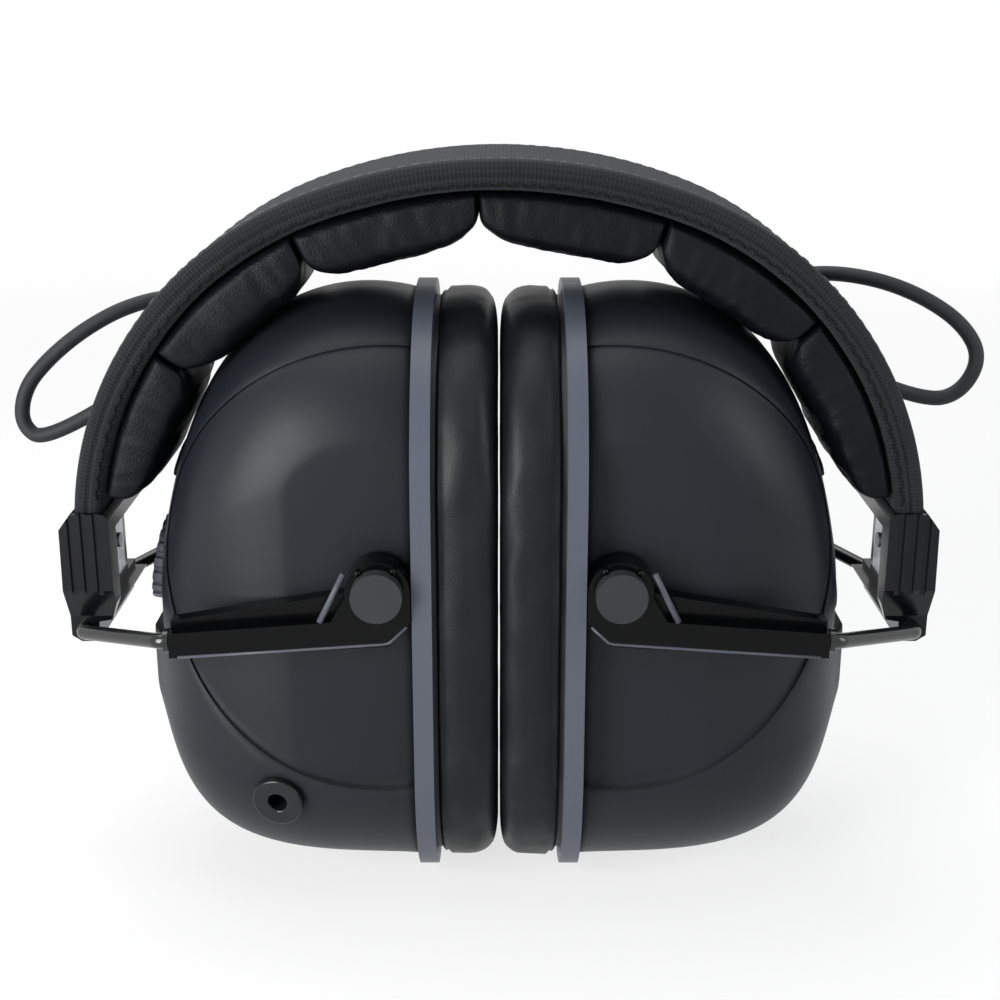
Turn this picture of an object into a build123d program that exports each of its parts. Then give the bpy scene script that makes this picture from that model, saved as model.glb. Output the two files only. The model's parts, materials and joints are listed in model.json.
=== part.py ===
"""Foldable electronic hearing-protection earmuffs, standing folded with both cups inside the headband.

Millimetres, +Z up. +X is the wearer's right-hand cup, -Y the face shown to the front.
The origin is on the floor, midway between the two cups. Every paired piece is drawn once
for the +X side and mirrored to the -X side.
"""

import os
from math import atan2, cos, pi, radians, sin, tan

from build123d import *

# ---------------------------------------------------------------- driving dimensions
# cup
cup_height = 116.0
ring_half_width = 36.5
ring_corner = 34.0
ring_thickness = 3.5
cushion_gap = 5.2
cushion_thickness = 7.8
cushion_inset = 1.6
cushion_edge_radius = 2.5
pin_boss_depth = 9.0
ear_half_width = 19.0
ear_half_height = 31.0
ear_corner = 18.0
carrier_thickness = 1.4
shell_wall = 2.4
flank_wall = 4.4
# cup shell sections: distance out from the ring, half width, bottom, top, corner
shell_sections = [
    (0.0, 33.0, 1.5, 114.4, 31.0),
    (22.7, 31.8, 2.6, 113.0, 30.0),
    (36.7, 27.2, 6.6, 101.5, 25.5),
    (45.7, 19.5, 15.5, 82.0, 18.0),
    (51.6, 9.0, 32.0, 55.0, 8.0),
]
face_wall = 5.0
face_flat = 63.6
face_step_height = 50.5
recess_step_depth = 0.8
face_lean_angle = 10.0

# pivot between arm and cup
pivot_height = 68.0
pivot_from_ring = 5.9
pin_radius = 2.5
pin_head_radius = 4.5
pin_head_thickness = 2.7
boss_radius = 5.7
recess_radius = 40.6
recess_half_width = 31.0

# arms and wire
wire_diameter = 2.8
arm_reach = 36.9
arm_tilt = 3.4
arm_end_drop = 10.0
arm_bar_height = 4.6
arm_fin_height = 6.0
arm_fin_thickness = 2.9
arm_bar_thickness = 5.6
arm_boss_thickness = 5.9
bore_end_margin = 3.3

# fold hinge in the headband's end block
hinge_inset = 0.2
hinge_drop = 17.8
hinge_half_width = 16.4
wire_bend_radius = 2.6

# headband
fold_gap = 5.0
crown_room = 24.0
crown_lift = 2.0
side_arc_offset = 11.0
band_width = 34.0
cover_thickness = 5.4
cover_edge_radius = 1.8
strip_thickness = 1.2
strip_width = 20.0
strip_shift = -3.0
pad_width = 32.0
pad_depth = 14.5
pad_notch_depth = 10.8
pad_end_depth = 6.8
pad_shift = -4.0
pad_pitch = 36.3
pad_end = 109.0

# end block
block_half_width = 18.2
block_foot_half_width = 14.6
block_height = 26.5
block_wall = 1.7
block_foot_depth = 2.6
block_lip = 0.8
block_cut_rise = 5.0
groove_width = 1.1
groove_depth = 0.6
groove_pitch = 2.4
groove_rise = 6.6
cover_entry = 3.0
rivet_radius = 1.5
rivet_spacing = 11.0
rivet_rise = 7.0

# cable
cable_diameter = 3.0
channel_y = 12.6
right_exit_turn_angle = 44.0
left_exit_turn_angle = 41.0
exit_bend_radius = 6.0
left_first_run = 15.9
left_last_run = 12.3
right_first_run = 9.8
right_last_run = 12.3
exit_length = 3.2
grommet_wall = 1.2
grommet_length = 3.4
relief_radius = 2.3
relief_length = 3.6
relief_seat = 1.0
relief_angle = 10.0
right_exit_angle = 65.0
left_exit_angle = 68.0

# controls and electronics
dish_floor = 62.8
dish_radius = 10.6
dish_boss = 2.6
control_height = 61.3
knob_radius = 8.4
knob_thickness = 3.4
knob_ribs = 18
knob_base = 1.0
knob_groove_radius = 0.7
shaft_radius = 1.5
pot_radius = 5.5
pot_thickness = 6.0
board_width = 26.0
board_height = 40.0
board_thickness = 1.6
jack_x = 41.0
jack_y = 31.3
jack_height = 24.5
jack_radius = 4.8
jack_body_radius = 3.4
jack_bore_radius = 1.8
jack_depth = 12.0
jack_bezel = 1.2
speaker_radius = 15.0
magnet_radius = 9.0
speaker_rim = 2.2
speaker_depth = 5.5
baffle_thickness = 2.0
sound_hole_radius = 12.0
ear_foam_thickness = 3.0
damper_half_width = 18.5
damper_half_height = 34.0
damper_thickness = 17.0
damper_corner = 10.0
mic_radius = 3.0
mic_depth = 3.2
screen_radius = 4.2
screen_depth = 1.2
mic_x = 61.6
mic_rise = 20.7
mic_lean_angle = 20.0
cell_radius = 7.8
cell_length = 27.0
tube_wall = 1.2
cap_thickness = 1.4
cap_slot_depth = 0.7
cap_slot_width = 1.6
cap_slot_length = 13.78
spring_length = 2.4
spring_inset = 2.0
spring_wire = 1.0
peg_radius = 1.4
peg_length = 2.6
peg_half_width = 27.5
peg_half_height = 34.0

# clearances
running = 0.05
slip = 0.1
loose = 0.2
soft_gap = 0.3
arm_gap = 0.4

# ---------------------------------------------------------------- derived places
cushion_face = cushion_gap / 2
carrier_face = cushion_face + cushion_thickness
ring_face = carrier_face + carrier_thickness
ring_back = ring_face + ring_thickness
cup_center = cup_height / 2
cup_face = ring_back + shell_sections[-1][0]
band_half_width = cup_face + fold_gap + block_wall + cover_thickness
band_side_radius = band_half_width - side_arc_offset
band_top = cup_height + crown_room
band_spring_height = band_top - band_side_radius - crown_lift
hinge_x = band_half_width - hinge_inset
hinge_height = band_spring_height - hinge_drop
pivot_x = ring_back + pivot_from_ring
arm_inner = recess_half_width + arm_gap
wire_half_span = arm_inner + arm_bar_thickness / 2
mic_height = control_height + mic_rise
wire_radius = wire_diameter / 2
bore_radius = wire_radius + running
slope = tan(radians(arm_tilt))
arm_end_x = pivot_x + arm_reach
wire_end_x = pivot_x + pin_radius + bore_end_margin + 1.5
strip_depth = cover_thickness / 2
cable_radius = cable_diameter / 2


def wire_height(x):
    """Height of the wire leg's straight run inside the arm."""
    return pivot_height - arm_end_drop + (arm_end_x - x) * slope


def finish(name, part):
    part.label = name
    export_step(part, f"parts/{name}.step")


def both_sides(name, part):
    """Writes a +X piece and its mirror image on the -X side."""
    finish(f"right_{name}", part)
    with BuildPart() as other:
        mirror(part, about=Plane.YZ)
    finish(f"left_{name}", other.part)


def mirrored(part):
    with BuildPart() as other:
        mirror(part, about=Plane.YZ)
    return other.part


os.makedirs("parts", exist_ok=True)

# ---------------------------------------------------------------- headband line
# The band's outer line is a flat crown arc between two tighter side arcs, then plumb ends.
side_center_x = band_half_width - band_side_radius
rise = band_top - band_spring_height
crown_radius = (side_center_x**2 + rise**2 - band_side_radius**2) / (2 * (rise - band_side_radius))
crown_height = band_top - crown_radius
crown_angle = atan2(side_center_x, band_spring_height - crown_height)
crown_length = crown_radius * crown_angle


def band_point(s, depth):
    """Point in XZ at arc length s from the top, depth below the outer line."""
    side = 1 if s >= 0 else -1
    s = abs(s)
    side_length = band_side_radius * (pi / 2 - crown_angle)
    if s <= crown_length:
        a = s / crown_radius
        r = crown_radius - depth
        return side * r * sin(a), crown_height + r * cos(a)
    if s <= crown_length + side_length:
        a = crown_angle + (s - crown_length) / band_side_radius
        r = band_side_radius - depth
        return side * (side_center_x + r * sin(a)), band_spring_height + r * cos(a)
    drop = s - crown_length - side_length
    return side * (band_half_width - depth), band_spring_height - drop


def band_half(depth, foot):
    """The band's line at a depth on the +X side, from the top down to height foot."""
    r = crown_radius - depth
    a = crown_angle
    joint = (r * sin(a), crown_height + r * cos(a))
    middle = (r * sin(a / 2), crown_height + r * cos(a / 2))
    ThreePointArc((0, crown_height + r), middle, joint)
    rs = band_side_radius - depth
    b = (crown_angle + pi / 2) / 2
    half = (side_center_x + rs * sin(b), band_spring_height + rs * cos(b))
    edge = (band_half_width - depth, band_spring_height)
    ThreePointArc(joint, half, edge)
    Line(edge, (band_half_width - depth, foot))


def band_layer(depth_out, depth_in, foot, y0, y1):
    """A layer of the band between two depths, from y0 to y1, reaching down to foot."""
    with BuildPart() as layer:
        with BuildSketch(Plane.XZ.offset(-y1)):
            with BuildLine():
                band_half(depth_out, foot)
                band_half(depth_in, foot)
                Line((0, band_top - depth_out), (0, band_top - depth_in))
                Line((band_half_width - depth_out, foot), (band_half_width - depth_in, foot))
            make_face()
            mirror(about=Plane.YZ)
        extrude(amount=y1 - y0)
    return layer.part


block_foot = hinge_height - block_foot_depth
block_top = block_foot + block_height
cover_foot = block_top - cover_entry
strip_foot = hinge_height + wire_diameter + 2.2
rivet_height = strip_foot + rivet_rise
block_inner = band_half_width - cover_thickness - block_wall
block_outer = band_half_width + block_wall + 0.5


# ---------------------------------------------------------------- cable exits
def exit_frame(angle, turned):
    """Where a cable leaves the band: bend start, bend end, outward direction, free end (XZ)."""
    a = radians(angle)
    r = band_side_radius - strip_depth
    along = Vector(cos(a), -sin(a))
    out = Vector(sin(a), cos(a))
    start = Vector(side_center_x, band_spring_height) + out * r
    turn = radians(turned)
    bend = start + along * (exit_bend_radius * sin(turn)) + out * (exit_bend_radius * (1 - cos(turn)))
    middle = (
        start
        + along * (exit_bend_radius * sin(turn / 2))
        + out * (exit_bend_radius * (1 - cos(turn / 2)))
    )
    direction = along * cos(turn) + out * sin(turn)
    return start, middle, bend, direction, bend + direction * exit_length


right_exit = exit_frame(right_exit_angle, right_exit_turn_angle)
left_exit = exit_frame(left_exit_angle, left_exit_turn_angle)


def crossover(radius):
    """A round bar of this radius along the cable's run through the band."""
    r = crown_radius - strip_depth
    rs = band_side_radius - strip_depth
    a = crown_angle
    with BuildPart() as run:
        with BuildLine(Plane.XZ.offset(-channel_y)):
            for side, frame in ((1, right_exit), (-1, left_exit)):
                start, middle, bend, direction, end = frame
                apex = (0, band_top - strip_depth)
                crown_mid = (side * r * sin(a / 2), crown_height + r * cos(a / 2))
                joint = (side * r * sin(a), crown_height + r * cos(a))
                b = (a + atan2(start.X - side_center_x, start.Y - band_spring_height)) / 2
                side_mid = (side * (side_center_x + rs * sin(b)), band_spring_height + rs * cos(b))
                ThreePointArc(apex, crown_mid, joint)
                ThreePointArc(joint, side_mid, (side * start.X, start.Y))
                ThreePointArc((side * start.X, start.Y), (side * middle.X, middle.Y), (side * bend.X, bend.Y))
                Line((side * bend.X, bend.Y), (side * end.X, end.Y))
        tip, way = right_exit[4], right_exit[3]
        with BuildSketch(Plane(origin=(tip.X, channel_y, tip.Y), z_dir=(way.X, 0, way.Y))):
            Circle(radius)
        sweep()
    return run.part


def exit_plane(frame, side, back):
    """Plane across a cable at its exit, set back from the free end, facing outwards."""
    direction, end = frame[3], frame[4]
    spot = end - direction * back
    return Plane(origin=(side * spot.X, channel_y, spot.Y), z_dir=(side * direction.X, 0, direction.Y))


grommet_radius = cable_radius + grommet_wall

# ---------------------------------------------------------------- headband pieces
with BuildPart() as strip:
    add(
        band_layer(
            strip_depth - strip_thickness / 2,
            strip_depth + strip_thickness / 2,
            strip_foot,
            strip_shift - strip_width / 2,
            strip_shift + strip_width / 2,
        )
    )
    with BuildSketch(Plane.YZ):
        with Locations((strip_shift, rivet_height)):
            with GridLocations(rivet_spacing, 0, 2, 1):
                Circle(rivet_radius)
    extrude(amount=band_half_width + 5, both=True, mode=Mode.SUBTRACT)
finish("headband_spring_strip", strip.part)

with BuildPart() as cover:
    add(band_layer(0, cover_thickness, strip_foot, -band_width / 2, band_width / 2))
    fillet(cover.faces().filter_by(Axis.Y).edges(), cover_edge_radius)
    with Locations((0, 0, cover_foot)):
        Box(
            4 * band_half_width,
            2 * band_width,
            cup_height,
            align=(Align.CENTER, Align.CENTER, Align.MAX),
            mode=Mode.SUBTRACT,
        )
    add(
        band_layer(
            strip_depth - strip_thickness / 2 - slip,
            strip_depth + strip_thickness / 2 + slip,
            strip_foot,
            strip_shift - strip_width / 2 - slip,
            strip_shift + strip_width / 2 + slip,
        ),
        mode=Mode.SUBTRACT,
    )
    add(crossover(cable_radius + slip), mode=Mode.SUBTRACT)
    for frame, side in ((right_exit, 1), (left_exit, -1)):
        with BuildSketch(exit_plane(frame, side, grommet_length)):
            Circle(grommet_radius)
        extrude(amount=grommet_length + cover_thickness, mode=Mode.SUBTRACT)
finish("headband_cover", cover.part)

with BuildPart() as lead:
    add(crossover(cable_radius))
finish("crossover_lead", lead.part)

for name, frame, side in (("right", right_exit, 1), ("left", left_exit, -1)):
    with BuildPart() as grommet:
        with BuildSketch(exit_plane(frame, side, grommet_length)):
            Circle(grommet_radius)
            Circle(cable_radius, mode=Mode.SUBTRACT)
        extrude(amount=grommet_length)
    finish(f"{name}_band_grommet", grommet.part)


def pad_edge_depth(s):
    """Depth of a pad's edge: a notch between two pads, thin at the band's ends."""
    return pad_end_depth if abs(s) > pad_end - 1 else pad_notch_depth


def crown_pad(s0, s1):
    """A stuffed pad under the band between arc lengths s0 and s1."""
    steps = 8
    top = cover_thickness + soft_gap
    with BuildPart() as pad:
        with BuildSketch(Plane.XZ.offset(-pad_width / 2)):
            with BuildLine():
                outer = [band_point(s0 + (s1 - s0) * i / steps, top) for i in range(steps + 1)]
                inner = []
                for i in range(steps + 1):
                    t = i / steps
                    edge = pad_edge_depth(s0) * (1 - t) + pad_edge_depth(s1) * t
                    bulge = (1 - abs(2 * t - 1) ** 2.6) ** 0.5
                    depth = edge + (pad_depth - pad_notch_depth) * bulge
                    inner.append(band_point(s0 + (s1 - s0) * t, depth))
                Spline(*outer)
                Spline(*inner)
                Line(outer[0], inner[0])
                Line(outer[-1], inner[-1])
            make_face()
        extrude(amount=pad_width)
    return pad.part


pad_names = ("left_lower", "left_upper", "left_crown", "right_crown", "right_upper", "right_lower")
breaks = [-pad_end] + [pad_shift + pad_pitch * k for k in (-2, -1, 0, 1, 2)] + [pad_end]
for name, s0, s1 in zip(pad_names, breaks[:-1], breaks[1:]):
    finish(f"{name}_pad", crown_pad(s0 + soft_gap / 2, s1 - soft_gap / 2))

# ---------------------------------------------------------------- end blocks
with BuildPart() as block:
    with BuildSketch(Plane.XZ.offset(-block_half_width)):
        with BuildLine():
            Polyline(
                (block_inner, block_top - 1.0),
                (block_inner + 1.0, block_top),
                (block_outer - 2.2, block_top),
                (block_outer, block_top - 3.0),
                (block_outer + 0.2, hinge_height + 8.0),
                (hinge_x + wire_radius + 1.2, block_foot + 1.2),
                (hinge_x + 0.8, block_foot),
                (hinge_x - wire_radius - 1.2, block_foot),
                (hinge_x - wire_radius - 1.4, hinge_height + wire_radius),
                (block_inner + 1.6, hinge_height + wire_radius + 0.4),
                (block_inner, hinge_height + 6.0),
                close=True,
            )
        make_face()
    extrude(amount=2 * block_half_width)
    # the foot is narrower, so the wire's bends clear it
    with BuildSketch(Plane.YZ.offset(block_inner - 1), mode=Mode.PRIVATE) as taper:
        with BuildLine():
            Polyline(
                (-block_half_width, block_top),
                (block_half_width, block_top),
                (block_half_width, hinge_height + 9.0),
                (block_foot_half_width, hinge_height + 2.6),
                (block_foot_half_width, block_foot),
                (-block_foot_half_width, block_foot),
                (-block_foot_half_width, hinge_height + 2.6),
                (-block_half_width, hinge_height + 9.0),
                close=True,
            )
        make_face()
    extrude(taper.sketch, amount=block_outer - block_inner + 3, mode=Mode.INTERSECT)
    # grip grooves on the front and rear faces
    for i in (1, 2, 3):
        for y in (-block_half_width, block_half_width):
            with Locations((block_inner + i * groove_pitch, y, block_top)):
                Box(groove_width, 2 * groove_depth, 2 * (block_height - groove_rise), mode=Mode.SUBTRACT)
    # the inner side is cut back behind the front flange, which bares the strip
    with Locations((block_inner - 1, strip_shift - strip_width / 2 - slip, block_foot + block_cut_rise)):
        Box(
            band_half_width - strip_depth - strip_thickness / 2 - block_inner + 1,
            2 * block_half_width,
            cover_foot - block_foot - block_cut_rise - block_lip,
            align=(Align.MIN, Align.MIN, Align.MIN),
            mode=Mode.SUBTRACT,
        )
    with Locations((block_inner - 1, strip_shift + strip_width / 2 + block_wall, hinge_height + 3.5)):
        Box(
            hinge_x - block_inner + 0.4,
            2 * block_half_width,
            cover_foot - hinge_height - 3.5 - block_lip,
            align=(Align.MIN, Align.MIN, Align.MIN),
            mode=Mode.SUBTRACT,
        )
    # pocket for the cover, slot for the strip, bore for the wire, rivet holes
    with Locations((band_half_width - cover_thickness / 2 - 0.25, 0, cover_foot)):
        Box(
            cover_thickness + 0.5 + slip,
            band_width + 2 * slip,
            block_height,
            align=(Align.CENTER, Align.CENTER, Align.MIN),
            mode=Mode.SUBTRACT,
        )
    with Locations((band_half_width - strip_depth, strip_shift, strip_foot)):
        Box(
            strip_thickness + 2 * slip,
            strip_width + 2 * slip,
            block_height,
            align=(Align.CENTER, Align.CENTER, Align.MIN),
            mode=Mode.SUBTRACT,
        )
    with BuildSketch(Plane.XZ):
        with Locations((hinge_x, hinge_height)):
            Circle(bore_radius)
    extrude(amount=block_half_width, both=True, mode=Mode.SUBTRACT)
    with BuildSketch(Plane.YZ):
        with Locations((strip_shift, rivet_height)):
            with GridLocations(rivet_spacing, 0, 2, 1):
                Circle(rivet_radius)
    extrude(amount=2 * band_half_width, mode=Mode.SUBTRACT)
right_block = block.part
both_sides("end_block", right_block)

rivet_x0 = band_half_width - strip_depth - strip_thickness / 2 - 0.6
rivet_x1 = block_outer
with BuildPart() as rivets:
    with BuildSketch(Plane.YZ.offset(rivet_x0)):
        with Locations((strip_shift, rivet_height)):
            with GridLocations(rivet_spacing, 0, 2, 1):
                Circle(rivet_radius)
    extrude(amount=rivet_x1 - rivet_x0)
both_sides("block_rivets", rivets.part)

# ---------------------------------------------------------------- wire bail
with BuildPart() as bail:
    bend_x = arm_end_x + 2.2
    route = [
        (wire_end_x, -wire_half_span, wire_height(wire_end_x)),
        (bend_x, -wire_half_span, wire_height(bend_x)),
        (hinge_x, -hinge_half_width, hinge_height),
        (hinge_x, hinge_half_width, hinge_height),
        (bend_x, wire_half_span, wire_height(bend_x)),
        (wire_end_x, wire_half_span, wire_height(wire_end_x)),
    ]
    with BuildLine() as wire_line:
        FilletPolyline(*route, radius=wire_bend_radius)
    with BuildSketch(Plane(origin=wire_line.line @ 0, z_dir=wire_line.line % 0)):
        Circle(wire_radius)
    sweep()
both_sides("wire_bail", bail.part)


def leg_plane(x, y, inward):
    """Plane across the wire leg at x, facing along the leg towards the cup."""
    way = -1 if inward else 1
    return Plane(origin=(x, y, wire_height(x)), z_dir=(way, 0, -way * slope))


with BuildPart() as collars:
    for y in (-wire_half_span, wire_half_span):
        with BuildSketch(leg_plane(arm_end_x + soft_gap, y, False)):
            Circle(wire_radius + 0.8)
            Circle(wire_radius, mode=Mode.SUBTRACT)
        extrude(amount=0.9)
both_sides("wire_collars", collars.part)

# ---------------------------------------------------------------- arms
bar_low = arm_bar_height / 2


def bar_outline():
    """The thick bar round the wire, from the arm's outer end to below the boss (XZ)."""
    return [
        (arm_end_x, wire_height(arm_end_x) - bar_low),
        (pivot_x - 1.6, wire_height(pivot_x) - bar_low),
        (pivot_x - boss_radius, pivot_height - 5.4),
        (pivot_x - boss_radius, pivot_height),
        (pivot_x + boss_radius, pivot_height - 1.0),
        (pivot_x + boss_radius + 2.6, wire_height(pivot_x) + bar_low),
        (arm_end_x, wire_height(arm_end_x) + bar_low),
    ]


def fin_outline():
    """The thin fin above the bar, rising towards the boss (XZ)."""
    return [
        (arm_end_x, wire_height(arm_end_x)),
        (pivot_x, wire_height(pivot_x)),
        (pivot_x, pivot_height),
        (pivot_x + boss_radius + 3.9, pivot_height - 1.7),
        (arm_end_x, wire_height(arm_end_x) + arm_fin_height - bar_low),
    ]


def arm(side, relief):
    """One arm beside the cup: side -1 is the front, +1 the rear."""
    y_boss = arm_inner + arm_boss_thickness
    near = arm_inner if side < 0 else -arm_inner
    with BuildPart() as piece:
        for outline, thickness in (
            (bar_outline(), arm_bar_thickness),
            (fin_outline(), arm_fin_thickness),
        ):
            with BuildSketch(Plane.XZ.offset(near)):
                with BuildLine():
                    Polyline(*outline, close=True)
                make_face()
            extrude(amount=-side * thickness)
        with BuildSketch(Plane.XZ.offset(near)):
            with Locations((pivot_x, pivot_height)):
                Circle(boss_radius)
        extrude(amount=-side * arm_boss_thickness)
        with BuildSketch(Plane.XZ):
            with Locations((pivot_x, pivot_height)):
                Circle(pin_radius + running)
        extrude(amount=-side * (y_boss + 2), mode=Mode.SUBTRACT)
        with BuildSketch(leg_plane(arm_end_x + 2, side * wire_half_span, True)):
            Circle(bore_radius)
        depth = (arm_end_x + 2 - wire_end_x + 0.5) / cos(radians(arm_tilt))
        extrude(amount=depth, mode=Mode.SUBTRACT)
        if relief:
            with BuildSketch(relief_plane()):
                Circle(relief_radius + slip)
            extrude(amount=-relief_seat, mode=Mode.SUBTRACT)
    return piece.part


def relief_plane():
    """Plane at the root of the cable's strain relief on the rear arm's boss, facing outwards."""
    a = radians(relief_angle)
    x = pivot_x + boss_radius * cos(a)
    z = pivot_height + boss_radius * sin(a)
    return Plane(origin=(x, wire_half_span, z), z_dir=(cos(a), 0, sin(a)))


both_sides("front_arm", arm(-1, False))
both_sides("rear_arm", arm(1, True))

with BuildPart() as relief:
    with BuildSketch(relief_plane().offset(-relief_seat)):
        Circle(relief_radius)
    extrude(amount=relief_seat + relief_length)
    fillet(relief.edges().sort_by(Axis.X)[-1:], 0.6)
both_sides("cable_relief", relief.part)

# ---------------------------------------------------------------- cup shells
def shell_body(wall_y, wall_z, wall_x):
    """The cup's dome, shrunk by a wall in each direction."""
    last = len(shell_sections) - 1
    with BuildPart() as dome:
        for i, (out, half, low, high, corner) in enumerate(shell_sections):
            x = ring_back + out - (wall_x if i == last else 0)
            width = 2 * (half - wall_y)
            height = high - low - 2 * wall_z
            with BuildSketch(Plane.YZ.offset(x)):
                with Locations((0, (low + high) / 2)):
                    RectangleRounded(width, height, min(corner, 0.48 * width))
        loft()
    return dome.part


def tilted(x, z, lean, out):
    """Plane leaning back by lean degrees, set out along its own normal."""
    a = radians(lean)
    return Plane(
        origin=(x + out * cos(a), 0, z + out * sin(a)),
        x_dir=(0, 1, 0),
        z_dir=(cos(a), 0, sin(a)),
    )


def face_plane(out):
    """Plane square to the control's axis on the cup's outer face, out from the dish floor."""
    return tilted(dish_floor, control_height, face_lean_angle, out)


def ear_plane(x):
    """Plane facing outwards on the ear's axis."""
    return Plane(origin=(x, 0, cup_center), z_dir=(1, 0, 0))


def mic_plane(out):
    return tilted(mic_x, mic_height, mic_lean_angle, out)


def jack_plane(out):
    """Plane of the audio socket on the cup's front lower flank."""
    way = Vector(0.2, -0.97, -0.14).normalized()
    return Plane(origin=Vector(jack_x, -jack_y, jack_height) + way * out, z_dir=way)


def round_bar(plane, length, radius, mode=Mode.ADD):
    """A round bar from a plane along its normal, for use inside BuildPart."""
    with BuildSketch(plane, mode=Mode.PRIVATE) as disc:
        Circle(radius)
    extrude(disc.sketch, amount=length, mode=mode)


def recess_waste(side):
    """What the round recess takes off one flank: flat near the pivot, then a shallow step all round."""
    with BuildPart() as waste:
        start = Plane.XZ.offset(-side * cup_center).shift_origin((pivot_x, side * cup_center, pivot_height))
        round_bar(start, side * cup_center, recess_radius)
        with BuildPart(mode=Mode.PRIVATE) as kept:
            add(shell_body(recess_step_depth, 0, 0))
            Box(4 * cup_height, 2 * recess_half_width, 4 * cup_height, mode=Mode.INTERSECT)
        add(kept.part, mode=Mode.SUBTRACT)
    return waste.part


def cup_shell(control_hole, jack):
    with BuildPart() as shell:
        add(shell_body(0, 0, 0))
        add(shell_body(flank_wall, shell_wall, face_wall), mode=Mode.SUBTRACT)
        # the outer face is set back above a step
        with Locations((face_flat, 0, face_step_height)):
            Box(
                cup_height,
                cup_height,
                cup_height,
                align=(Align.MIN, Align.CENTER, Align.MIN),
                mode=Mode.SUBTRACT,
            )
        # thick floor behind the dish of the control on the outer face
        round_bar(face_plane(-dish_boss), dish_boss, dish_radius + shell_wall)
        round_bar(face_plane(0), 3 * dish_boss, dish_radius, Mode.SUBTRACT)
        round_bar(face_plane(-2 * dish_boss), 3 * dish_boss, control_hole, Mode.SUBTRACT)
        # microphone port with a counterbore for its wind screen
        round_bar(mic_plane(-2 * mic_depth), 3 * mic_depth, mic_radius, Mode.SUBTRACT)
        round_bar(mic_plane(-screen_depth), 3 * mic_depth, screen_radius, Mode.SUBTRACT)
        if jack:
            round_bar(jack_plane(-jack_depth), 2 * jack_depth, jack_body_radius + slip, Mode.SUBTRACT)
            round_bar(jack_plane(-jack_bezel / 2), jack_depth, jack_radius + slip, Mode.SUBTRACT)
        for side in (-1, 1):
            # boss for the pivot pin, then the flat round recess that the arm sweeps
            wall = Plane.XZ.offset(-side * recess_half_width).shift_origin(
                (pivot_x, side * recess_half_width, pivot_height)
            )
            round_bar(wall, side * pin_boss_depth, 2 * pin_radius)
            add(recess_waste(side), mode=Mode.SUBTRACT)
            round_bar(wall, side * pin_boss_depth, pin_radius, Mode.SUBTRACT)
    return shell.part


finish("right_cup_shell", cup_shell(cell_radius + 2 * loose, False))
finish("left_cup_shell", mirrored(cup_shell(shaft_radius + running, True)))

# ---------------------------------------------------------------- pivot pins
with BuildPart() as pins:
    head = arm_inner + arm_boss_thickness + slip
    root = recess_half_width - pin_boss_depth
    for side in (-1, 1):
        seat = Plane.XZ.offset(-side * root).shift_origin((pivot_x, side * root, pivot_height))
        round_bar(seat, -side * (head - root), pin_radius)
        crown = Plane.XZ.offset(-side * head).shift_origin((pivot_x, side * head, pivot_height))
        round_bar(crown, -side * pin_head_thickness, pin_head_radius)
both_sides("pivot_pins", pins.part)


# ---------------------------------------------------------------- ring, carrier, cushion
def plate(x, thickness, half_width, height, corner, opening):
    """A flat rounded plate facing the ear, centred on the cup, with or without the ear opening."""
    with BuildPart() as piece:
        with BuildSketch(Plane.YZ.offset(x)):
            with Locations((0, cup_center)):
                RectangleRounded(2 * half_width, height, corner)
                if opening:
                    RectangleRounded(
                        2 * ear_half_width,
                        2 * ear_half_height,
                        ear_corner,
                        mode=Mode.SUBTRACT,
                    )
        extrude(amount=thickness)
    return piece.part


def peg_spots():
    return GridLocations(2 * peg_half_width, 2 * peg_half_height, 2, 2)


with BuildPart() as ring:
    add(plate(ring_face, ring_thickness, ring_half_width, cup_height, ring_corner, True))
    with BuildSketch(Plane.YZ.offset(ring_face)):
        with Locations((0, cup_center)):
            with peg_spots():
                Circle(peg_radius + slip)
    extrude(amount=peg_length + slip, mode=Mode.SUBTRACT)
both_sides("cup_ring", ring.part)

with BuildPart() as carrier:
    add(
        plate(
            carrier_face,
            carrier_thickness,
            ring_half_width - 2 * cushion_inset,
            cup_height - 4 * cushion_inset,
            ring_corner - 2 * cushion_inset,
            True,
        )
    )
    with BuildSketch(Plane.YZ.offset(ring_face)):
        with Locations((0, cup_center)):
            with peg_spots():
                Circle(peg_radius)
    extrude(amount=peg_length)
both_sides("cushion_carrier", carrier.part)

with BuildPart() as cushion:
    add(
        plate(
            cushion_face,
            cushion_thickness,
            ring_half_width - cushion_inset,
            cup_height - 2 * cushion_inset,
            ring_corner - cushion_inset,
            True,
        )
    )
    front = cushion.faces().sort_by(Axis.X)[0]
    fillet(front.edges(), cushion_edge_radius)
both_sides("ear_cushion", cushion.part)

# ---------------------------------------------------------------- inside the cups
mouth_half_width = shell_sections[0][1] - flank_wall
mouth_low = shell_sections[0][2] + shell_wall
mouth_high = shell_sections[0][3] - shell_wall

with BuildPart() as baffle:
    add(
        plate(
            ring_back,
            baffle_thickness,
            mouth_half_width - 3 * loose,
            mouth_high - mouth_low - 6 * loose,
            mouth_half_width - soft_gap - 3 * loose,
            False,
        )
    )
    round_bar(ear_plane(ring_back), baffle_thickness, sound_hole_radius, Mode.SUBTRACT)
    # notches round the shell's pin bosses
    boss_end = recess_half_width - pin_boss_depth - slip
    for side in (-1, 1):
        seat = Plane.XZ.offset(-side * boss_end).shift_origin((pivot_x, side * boss_end, pivot_height))
        round_bar(seat, -side * pin_boss_depth, 2 * pin_radius + slip, Mode.SUBTRACT)
both_sides("speaker_baffle", baffle.part)

with BuildPart() as speaker:
    round_bar(ear_plane(ring_back + baffle_thickness), speaker_rim, speaker_radius)
    round_bar(ear_plane(ring_back + baffle_thickness), speaker_depth, magnet_radius)
both_sides("speaker", speaker.part)

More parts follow.
